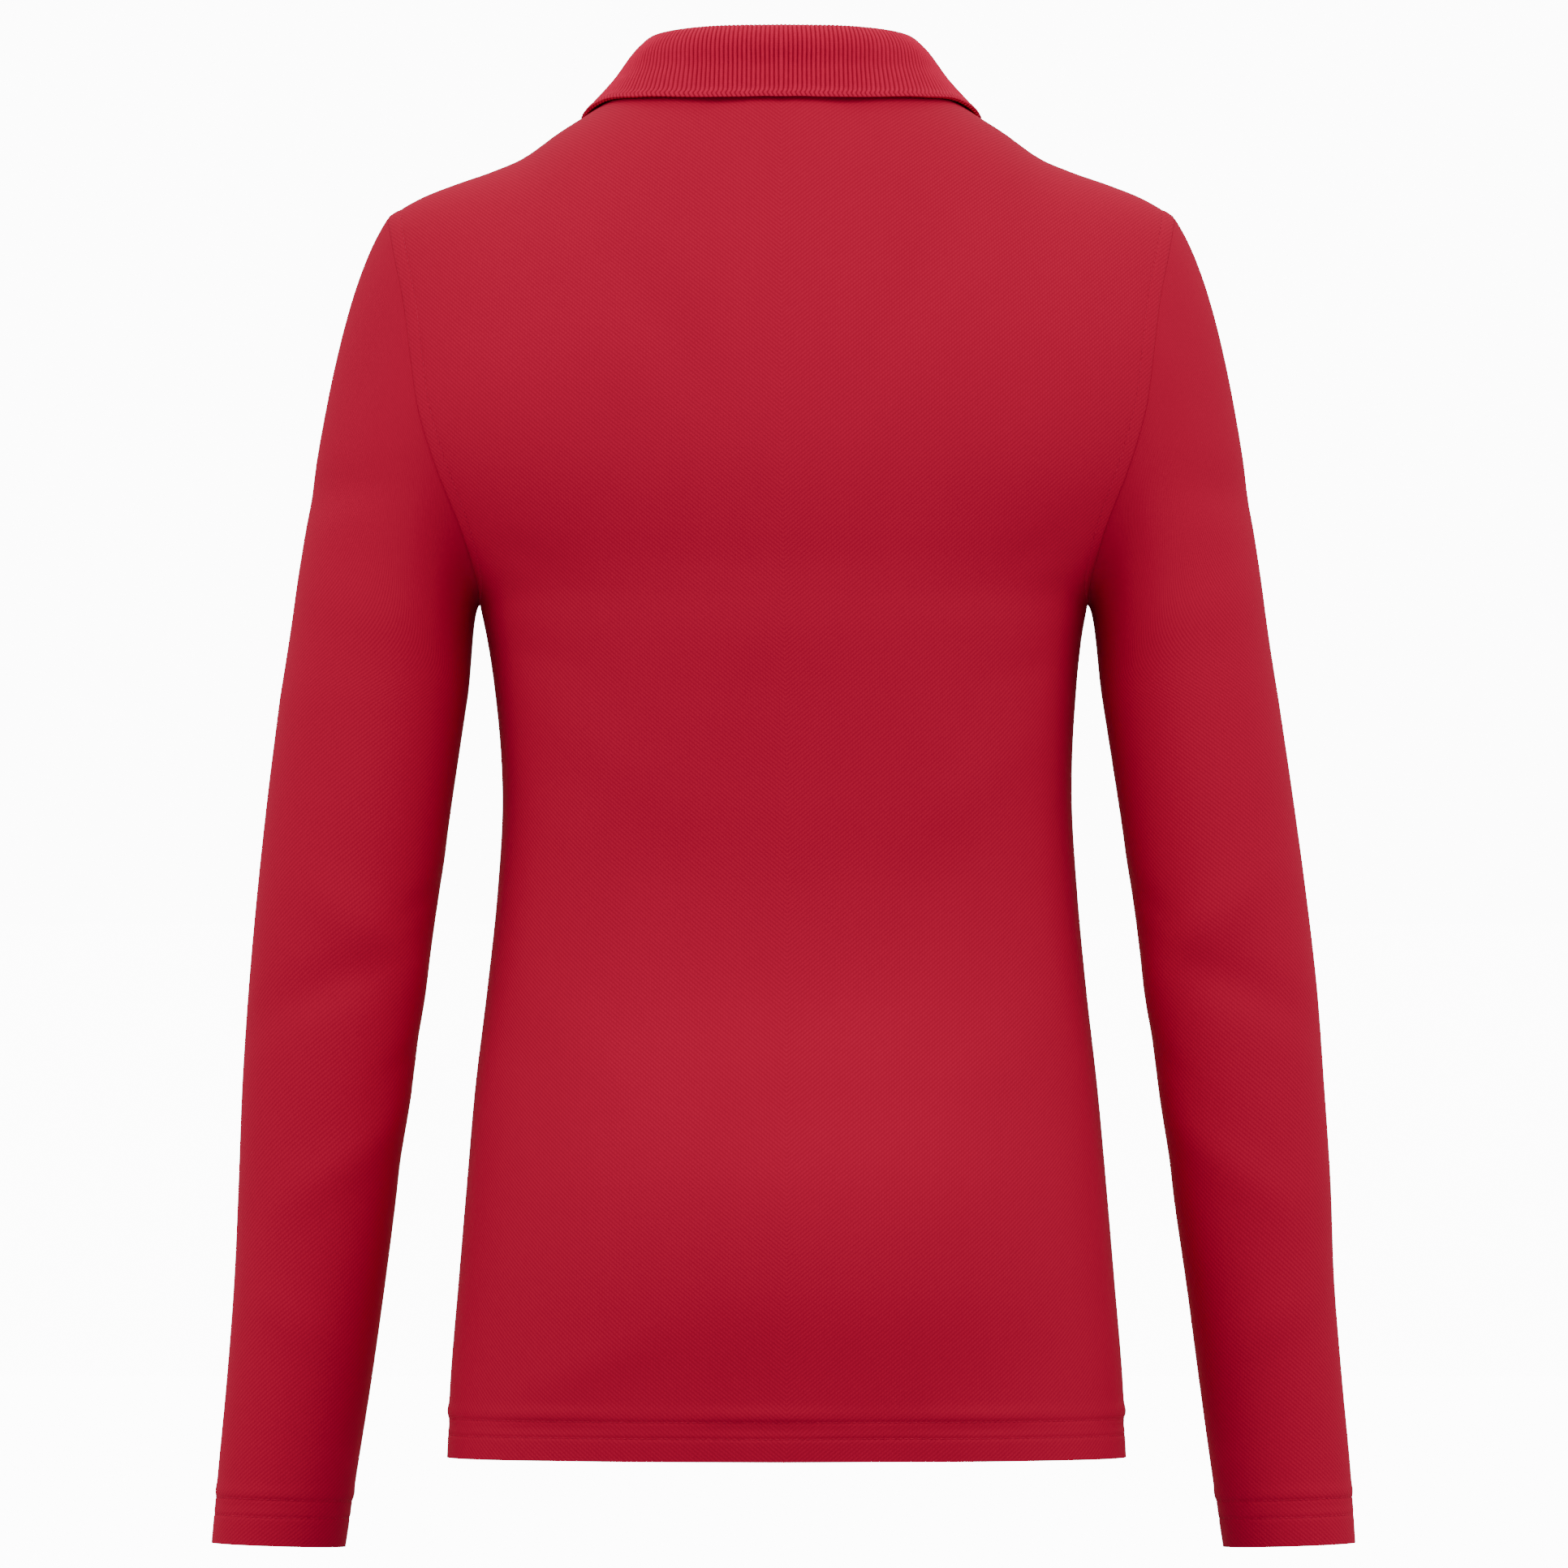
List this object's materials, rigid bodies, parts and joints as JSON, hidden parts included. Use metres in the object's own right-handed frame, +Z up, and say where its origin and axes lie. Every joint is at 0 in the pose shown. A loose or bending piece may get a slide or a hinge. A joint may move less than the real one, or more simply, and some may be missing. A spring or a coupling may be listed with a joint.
{
  "type": "long-sleeve polo shirt",
  "caption": "Long-sleeve polo shirt in a pique knit with a ribbed fold-over collar and a buttoned placket, filled out as if worn.",
  "frame": {"origin": "middle of the neck base at the height where the shirt rests on the shoulders", "axes": "+Z up, front faces -Y, the wearer's left is +X"},
  "size_m": [0.5439, 0.2564, 0.7217],
  "materials": {
    "pique": "matt red cotton pique knit with small raised dots",
    "rib": "matt red 1x1 rib knit",
    "button": "dyed-to-match red moulded button, soft gloss"
  },
  "bodies": {
    "root": {"back": "pique", "front": "pique", "sleeve_left": "pique", "sleeve_right": "pique", "collar": "rib", "placket_under": "pique", "placket_upper": "pique", "button_1": "button", "button_2": "button", "button_3": "button"}
  },
  "joints": []
}
